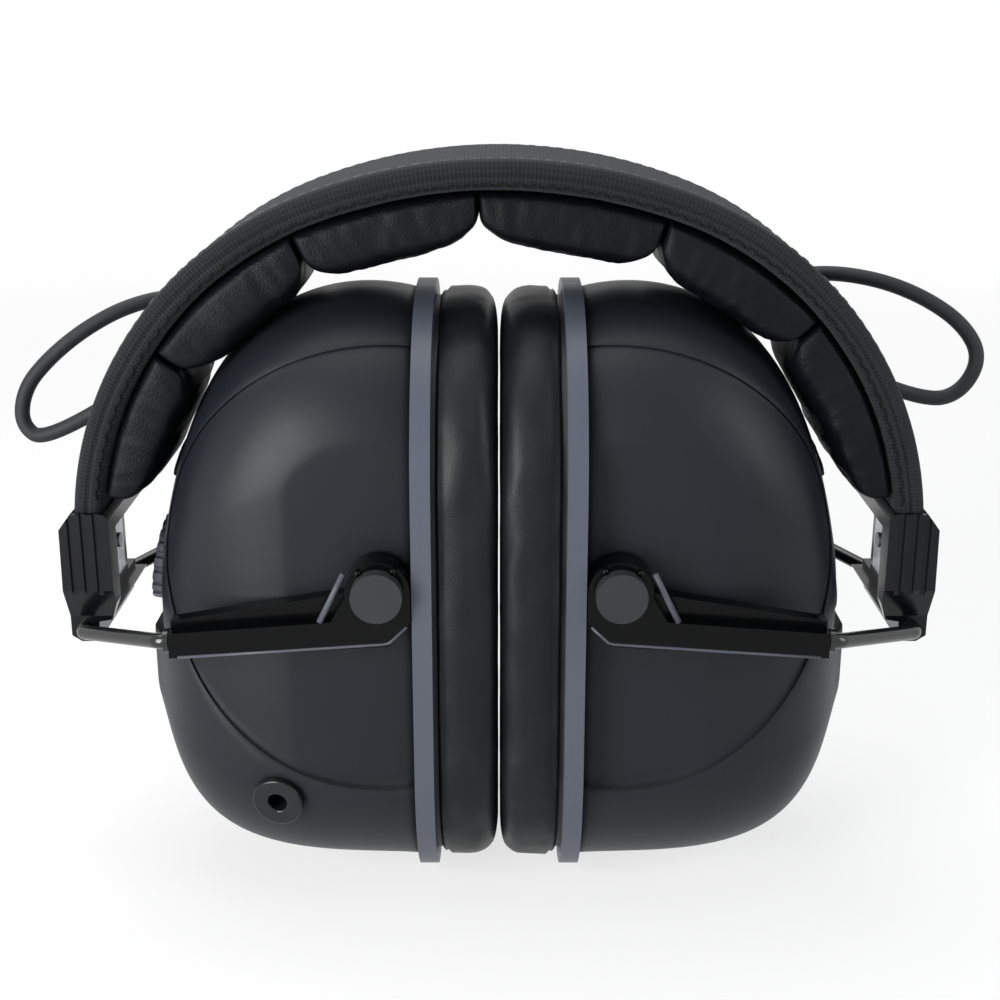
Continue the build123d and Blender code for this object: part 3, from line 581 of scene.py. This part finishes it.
# ---------------------------------------------------------------- headband line
# as the solids have it, in mm: straight legs up to SPRING, an arc at each side, a flatter crown
HALF_WIDTH, SPRING, TOP, SIDE_R = 79.0, 70.0, 140.0, 68.0
COVER_T = 5.4
BAND_W = 34.0
CX = HALF_WIDTH - SIDE_R
RISE = TOP - SPRING
CROWN_R = (CX**2 + RISE**2 - SIDE_R**2) / (2 * (RISE - SIDE_R))
CROWN_Z = TOP - CROWN_R
CROWN_A = math.atan2(CX, SPRING - CROWN_Z)
CROWN_L = CROWN_R * CROWN_A
SIDE_L = SIDE_R * (math.pi / 2 - CROWN_A)
COVER_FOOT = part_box("headband_cover")[0][2] * 1000
BAND_L = CROWN_L + SIDE_L + SPRING - COVER_FOOT


def band_point(s, depth):
    """XZ of the band at arc length s from the top and depth under its outer line, in mm."""
    side = 1 if s >= 0 else -1
    s = abs(s)
    if s <= CROWN_L:
        a, r = s / CROWN_R, CROWN_R - depth
        return side * r * math.sin(a), CROWN_Z + r * math.cos(a)
    if s <= CROWN_L + SIDE_L:
        a, r = CROWN_A + (s - CROWN_L) / SIDE_R, SIDE_R - depth
        return side * (CX + r * math.sin(a)), SPRING + r * math.cos(a)
    return side * (HALF_WIDTH - depth), SPRING - (s - CROWN_L - SIDE_L)


def band_spot(s, depth, y):
    x, z = band_point(s, depth)
    return mm(x, y, z)


EDGE_R = 1.9
# steps across each face of the strap, and along it
FACE_STEPS, BAND_STEPS = 13, 190


def band_cover():
    """The cover as a sewn strap: rounded edges, a groove in each side where two layers meet."""
    half, t = BAND_W / 2, COVER_T
    profile = []
    r = EDGE_R

    def arc(cy, cd, a0, a1, steps=5):
        for k in range(steps + 1):
            a = math.radians(a0 + (a1 - a0) * k / steps)
            profile.append((cy + r * math.cos(a), cd - r * math.sin(a)))

    for k in range(FACE_STEPS):
        profile.append((-half + r + (2 * half - 2 * r) * k / FACE_STEPS, 0.0))
    arc(half - r, r, 90, 0)
    profile.append((half - 0.05, t * 0.44))
    profile.append((half - 0.55, t * 0.5))
    profile.append((half - 0.05, t * 0.56))
    arc(half - r, t - r, 0, -90)
    for k in range(1, FACE_STEPS):
        profile.append((half - r - (2 * half - 2 * r) * k / FACE_STEPS, t))
    arc(-half + r, t - r, 270, 180)
    profile.append((-half + 0.05, t * 0.56))
    profile.append((-half + 0.55, t * 0.5))
    profile.append((-half + 0.05, t * 0.44))
    arc(-half + r, r, 180, 90)
    rows = []
    lengths = []
    for i in range(BAND_STEPS + 1):
        s = -BAND_L + 2 * BAND_L * i / BAND_STEPS
        lengths.append(s / 1000)
        row = []
        for y, d in profile:
            p = band_spot(s, d, y)
            swell = noise.noise(p * 60) * 0.00018 + noise.noise(p * 210) * 0.00007
            row.append(p + Vector((0, 0, 1)) * swell * (0.4 if d < 1 else 1))
        rows.append(row)
    around = [0.0]
    for a, b in zip(profile, profile[1:] + profile[:1]):
        around.append(around[-1] + math.dist(a, b) / 1000)
    return grid_tube("band_cover", rows, "band", uv=(lengths, around))


cover = band_cover()
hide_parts("headband_cover")
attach(cover, "headband")


THREAD_RADIUS = 0.00022
THREAD_SIDES = 6
# where a stitch narrows to go into the cloth: share of its length, share of its radius
STITCH_RINGS = ((0, 0.35), (0.18, 1), (0.82, 1), (1, 0.35))


def stitches(name, spots, key):
    """Short thread stitches between pairs of points, one mesh."""
    bm = bmesh.new()
    for a, b in spots:
        way = (b - a).normalized()
        u = way.orthogonal().normalized()
        v = way.cross(u)
        rings = []
        for t, r in STITCH_RINGS:
            c = a.lerp(b, t)
            turns = [math.tau * i / THREAD_SIDES for i in range(THREAD_SIDES)]
            rings.append(
                [
                    bm.verts.new(c + (u * math.cos(k) + v * math.sin(k)) * THREAD_RADIUS * r)
                    for k in turns
                ]
            )
        for p, q in zip(rings[:-1], rings[1:]):
            for i in range(THREAD_SIDES):
                j = (i + 1) % THREAD_SIDES
                bm.faces.new((p[i], p[j], q[j], q[i]))
        bm.faces.new(rings[0])
        bm.faces.new(rings[-1])
    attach(mesh_object(name, bm, key), "headband")


# stitching in mm: bare ends of the band, then each seam's pitch
SEAM_END = 6
DASH, DASH_PITCH, DASH_INSET, DASH_DEPTH = 1.7, 2.6, 3.2, 0.05
ZIG_PITCH, ZIG_OUT = 1.5, 0.02
# the zigzag runs between these heights over the cover's underside
ZIG_LOW, ZIG_HIGH = 0.9, 1.4


def band_stitching():
    dashes = []
    s = -BAND_L + SEAM_END
    while s < BAND_L - SEAM_END:
        for y in (-BAND_W / 2 + DASH_INSET, BAND_W / 2 - DASH_INSET):
            dashes.append((band_spot(s, DASH_DEPTH, y), band_spot(s + DASH, DASH_DEPTH, y)))
        s += DASH_PITCH
    stitches("edge_stitching", dashes, "thread")
    zig = []
    s = -BAND_L + SEAM_END
    ends = [COVER_T - ZIG_LOW, COVER_T - ZIG_HIGH]
    while s < BAND_L - SEAM_END:
        for y in (-BAND_W / 2 - ZIG_OUT, BAND_W / 2 + ZIG_OUT):
            zig.append((band_spot(s, ends[0], y), band_spot(s + ZIG_PITCH, ends[1], y)))
        ends.reverse()
        s += ZIG_PITCH
    stitches("seam_stitching", zig, "black_thread")


band_stitching()


# ---------------------------------------------------------------- soft pads
# lengths along the band from its top, in mm
PAD_END = 109.0
PAD_BREAKS = (-PAD_END, -76.6, -40.3, -4.0, 32.3, 68.6, PAD_END)
PAD_NAMES = ("left_lower", "left_upper", "left_crown", "right_crown", "right_upper", "right_lower")
# depths under the band's outer line: at the joints, at the middle of a pad, at the row's ends
NOTCH, FULL, END_DEPTH = 10.6, 16.4, 8.4
PAD_HALF_WIDTH, PAD_SEAT = 16.6, COVER_T + 0.05
PAD_STEPS, PAD_ROUND = 44, 40
# the simulation, in Blender's units, and how far it may move a point, in metres
PRESSURE, PUFF_CAP, PUFF_FRAMES = 3.0, 0.0006, 20
# how near a pad comes to a folded cup, and how far away a cup is looked for
CUP_GAP, CUP_REACH = 0.0005, 0.004


def puffed(obj, pinned):
    """Blows a closed mesh up as cloth with some points held, and caps how far each moves."""
    group = obj.vertex_groups.new(name="held")
    group.add(pinned, 1.0, "REPLACE")
    before = [v.co.copy() for v in obj.data.vertices]
    cloth = obj.modifiers.new("cloth", "CLOTH")
    c = cloth.settings
    c.quality = 5
    c.vertex_group_mass = "held"
    c.use_pressure = True
    c.uniform_pressure_force = PRESSURE
    c.effector_weights.gravity = 0
    c.tension_stiffness = 8
    c.compression_stiffness = 4
    c.bending_stiffness = 0.2
    scene = bpy.context.scene
    for f in range(1, PUFF_FRAMES + 1):
        scene.frame_set(f)
    apply_all(obj)
    scene.frame_set(1)
    for v, old in zip(obj.data.vertices, before):
        move = v.co - old
        if move.length > PUFF_CAP:
            v.co = old + move * (PUFF_CAP / move.length)


def cup_surfaces():
    """The two cup shells as search trees."""
    graph = bpy.context.evaluated_depsgraph_get()
    out = []
    for side, _ in SIDES:
        node = nodes[side + "_cup_shell"].evaluated_get(graph)
        bm = bmesh.new()
        bm.from_mesh(node.data)
        bm.transform(node.matrix_world)
        out.append(BVHTree.FromBMesh(bm))
        bm.free()
    return out


CUPS = cup_surfaces()


def clear_of_cups(obj):
    """Presses a pad in where it would reach a folded cup."""
    for v in obj.data.vertices:
        for cup in CUPS:
            place, normal, _, _ = cup.find_nearest(v.co, CUP_REACH)
            if place and (v.co - place).dot(normal) < CUP_GAP:
                v.co = place + normal * CUP_GAP


def pad(name, s0, s1, index):
    """One stuffed pad: flat against the cover, crowned underneath, pulled in at its ends."""
    edges = [END_DEPTH if abs(s) == PAD_END else NOTCH for s in (s0, s1)]
    rows = []
    for i in range(PAD_STEPS + 1):
        t = i / PAD_STEPS
        s = s0 + (s1 - s0) * t
        edge = edges[0] * (1 - t) + edges[1] * t
        # the two crown pads run up gently to the joint between them
        gentle = (index == 2 and t > 0.5) or (index == 3 and t < 0.5)
        bulge = (1 - abs(2 * t - 1) ** (2.0 if gentle else 4.0)) ** 0.5
        depth = edge + (FULL - NOTCH) * bulge
        # the ends draw in a little, with a rounded shoulder
        shoulder = (1 - abs(2 * t - 1) ** 14) ** 0.5
        row = []
        for k in range(PAD_ROUND):
            a = math.tau * k / PAD_ROUND
            c, n = math.cos(a), math.sin(a)
            y = PAD_HALF_WIDTH * math.copysign(abs(c) ** 0.45, c) * (0.93 + 0.07 * shoulder)
            w = 0.5 - 0.5 * math.copysign(abs(n) ** (0.30 if n > 0 else 0.5), n)
            d = PAD_SEAT + (depth - PAD_SEAT) * w
            p = band_spot(s, d, y)
            if w > 0.12:
                # pleats run in from the seams and fade towards the middle
                fade = 0.5 + 0.5 * abs(2 * t - 1) ** 2
                d += noise.noise(Vector((s * 0.20, y * 0.35, index * 9.1))) * 0.7 * fade
                d += noise.noise(Vector((s * 0.75, y * 0.5, index * 5.3))) * 0.22
                layer = index * 3.7 + (7 if y > 0 else 0)
                y += noise.noise(Vector((s * 0.45, d * 0.3, layer))) * 0.35
                p = band_spot(s, min(d, depth + 0.2), y)
            row.append(p)
        rows.append(row)
    obj = grid_tube(name + "_cushioning", rows, "pad")
    # the half of each loop that lies on the cover is held
    seat = range(1, PAD_ROUND // 2)
    puffed(obj, [v.index for v in obj.data.vertices if v.index % PAD_ROUND in seat])
    clear_of_cups(obj)
    div = obj.modifiers.new("divide", "SUBSURF")
    div.levels = div.render_levels = 1
    apply_all(obj)
    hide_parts(name + "_pad")
    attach(obj, "headband")


for index, name in enumerate(PAD_NAMES):
    pad(name, PAD_BREAKS[index], PAD_BREAKS[index + 1], index)


# ---------------------------------------------------------------- ear cushions
def rounded_loop(half_y, half_z, corner, centre_z, count):
    """Points and outward normals round a rounded rectangle in YZ, evenly spaced, in mm."""
    corner = min(corner, half_y - 0.01, half_z - 0.01)
    straight_y, straight_z = 2 * (half_y - corner), 2 * (half_z - corner)
    quarter = math.pi * corner / 2
    total = 2 * straight_y + 2 * straight_z + 4 * quarter
    out = []
    for i in range(count):
        d = total * i / count
        # even parts are straight, odd parts are corners
        for kind, length in enumerate((straight_z, quarter, straight_y, quarter) * 2):
            if d <= length:
                break
            d -= length
        a0 = kind // 2 * 90
        if kind % 2:
            cy = (1, -1, -1, 1)[kind // 2] * (half_y - corner)
            cz = (1, 1, -1, -1)[kind // 2] * (half_z - corner)
            a = math.radians(a0 + 90 * d / quarter)
            p = (cy + corner * math.cos(a), centre_z + cz + corner * math.sin(a))
            out.append((p, (math.cos(a), math.sin(a))))
        else:
            a = math.radians(a0)
            n = (math.cos(a), math.sin(a))
            if kind == 0:
                p = (half_y, centre_z - straight_z / 2 + d)
            elif kind == 2:
                p = (straight_y / 2 - d, centre_z + half_z)
            elif kind == 4:
                p = (-half_y, centre_z + straight_z / 2 - d)
            else:
                p = (-straight_y / 2 + d, centre_z - half_z)
            out.append((p, n))
    return out


# the ear hole's half sizes and corner, in mm, as the solids have them
EAR_HALF_Y, EAR_HALF_Z, EAR_CORNER = 19.0, 31.0, 18.0
# how far the cushion swells past its solid
SWELL_Y, SWELL_Z = 0.4, 0.3
# distances from the middle plane: the face, the back, the skirt over the carrier, the seam
FACE_X, BACK_X, SKIRT_X, SEAM_X = 0.12, 10.45, 11.7, 9.9
SEAM_WIDTH, SEAM_DEPTH = 0.3, 0.5
CUSHION_LOOP, CUSHION_ROUND = 240, 44


def cushion(side, sign):
    """The ear cushion as a sewn ring: crowned face, soft wall over the carrier, pleats, a seam."""
    low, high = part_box(side + "_ear_cushion")
    half_y = high[1] * 1000 + SWELL_Y
    half_z = (high[2] - low[2]) * 500 + SWELL_Z
    centre = (high[2] + low[2]) * 500
    outer = rounded_loop(half_y, half_z, half_y - 2.0, centre, CUSHION_LOOP)
    inner = rounded_loop(EAR_HALF_Y, EAR_HALF_Z, EAR_CORNER, centre, CUSHION_LOOP)
    rows = []
    for (rim, normal), (hole, _) in zip(outer, inner):
        row = []
        for k in range(CUSHION_ROUND):
            a = math.tau * k / CUSHION_ROUND
            c, s = math.cos(a), math.sin(a)
            u = 0.5 + 0.5 * math.copysign(abs(c) ** 0.5, c)
            w = math.copysign(abs(s) ** (0.7 if s > 0 else 0.3), s)
            rear = SKIRT_X if u > 0.93 else BACK_X
            x = (rear + FACE_X) / 2 - w * (rear - FACE_X) / 2
            y = hole[0] + (rim[0] - hole[0]) * u
            z = hole[1] + (rim[1] - hole[1]) * u
            seam = math.exp(-(((x - SEAM_X) / SEAM_WIDTH) ** 2)) * SEAM_DEPTH if u > 0.8 else 0
            around = Vector((y * 0.09, z * 0.09, x * 0.22 + sign * 7))
            pleat = noise.noise(around) * 0.5 + noise.noise(around * 3.7) * 0.14
            out = (pleat - 0.2 if u > 0.75 else 0) - seam
            y += normal[0] * out
            z += normal[1] * out
            if w > 0.1:
                x += abs(noise.noise(Vector((y * 0.06, z * 0.06, sign * 3)))) * 0.2
            row.append(mm(sign * x, y, z))
        rows.append(row)
    obj = grid_tube(side + "_cushion", rows, "cushion", closed_rows=True)
    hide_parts(side + "_ear_cushion")
    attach(obj, side + "_cup")


for side, sign in SIDES:
    cushion(side, sign)


# ---------------------------------------------------------------- arm trim
# each lip in mm: its path in XZ, its distance from the middle plane, its radius; the lips are
# painted a lighter grey than the arms, as painted highlights along their edges
LIPS = (
    (((31.4, 62.6), (29.2, 67.0), (27.0, 71.5)), 36.95, 0.55),
    (((56.6, 55.9), (37.0, 57.2), (20.2, 58.4), (19.2, 58.7), (16.2, 61.6)), 37.0, 0.26),
)
PIVOT_X, PIVOT_Z = 21.2, 68
# the studs: angles on the boss, distance from the pivot, ends and rounded tip, radius in metres
STUD_ANGLES, STUD_SPREAD = (50, 124), 5.1
STUD_ENDS, STUD_RADIUS = (36.9, 37.9, 38.1), 0.00055


def arm_trim(side, sign):
    """Raised lips on both arms of a side, painted lighter grey as highlights, and two small studs
    on the face of each boss.
    """
    for where, turn in (("front", -1), ("rear", 1)):
        arm = side + "_" + where + "_arm"
        lips = []
        for path, y, r in LIPS:
            points = [mm(sign * x, turn * y, z) for x, z in path]
            # painted highlight: each lip is lighter grey than the black arm it sits on
            lips.append(tube(arm + "_lip", points, r / 1000, "arm_edge", 10))
        join(lips, arm + "_lips", side + "_arms")
        stops = []
        for turned in STUD_ANGLES:
            a = math.radians(turned)
            x, z = PIVOT_X + STUD_SPREAD * math.cos(a), PIVOT_Z + STUD_SPREAD * math.sin(a)
            points = [mm(sign * x, turn * y, z) for y in STUD_ENDS]
            stops.append(tube(arm + "_stop", points, STUD_RADIUS, "arm", 14))
        join(stops, arm + "_stops", side + "_arms")


for side, sign in SIDES:
    arm_trim(side, sign)


# ---------------------------------------------------------------- foams inside
# remeshing in metres: pieces over BIG_FOAM get the coarse voxel
BIG_FOAM, COARSE_VOXEL, FINE_VOXEL = 0.02, 0.0012, 0.0004
CUT_SCALE, CUT_DEPTH, CUT_SHRINK = 400, 0.00012, 0.00006


def foam_piece(source, body):
    """A foam solid with softened edges and an uneven cut surface."""
    mesh = nodes[source].data.copy()
    obj = bpy.data.objects.new(source + "_piece", mesh)
    bpy.context.collection.objects.link(obj)
    remesh = obj.modifiers.new("remesh", "REMESH")
    remesh.mode = "VOXEL"
    remesh.voxel_size = COARSE_VOXEL if max(obj.dimensions) > BIG_FOAM else FINE_VOXEL
    apply_all(obj)
    relax = obj.modifiers.new("relax", "SMOOTH")
    relax.iterations = 3
    apply_all(obj)
    for v in obj.data.vertices:
        v.co += v.normal * (noise.noise(v.co * CUT_SCALE) * CUT_DEPTH - CUT_SHRINK)
    paint(obj, "foam")
    for p in obj.data.polygons:
        p.use_smooth = True
    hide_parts(source)
    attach(obj, body)


for side, sign in SIDES:
    for n in ("_ear_foam", "_damper_foam", "_wind_screen"):
        foam_piece(side + n, side + "_cup")
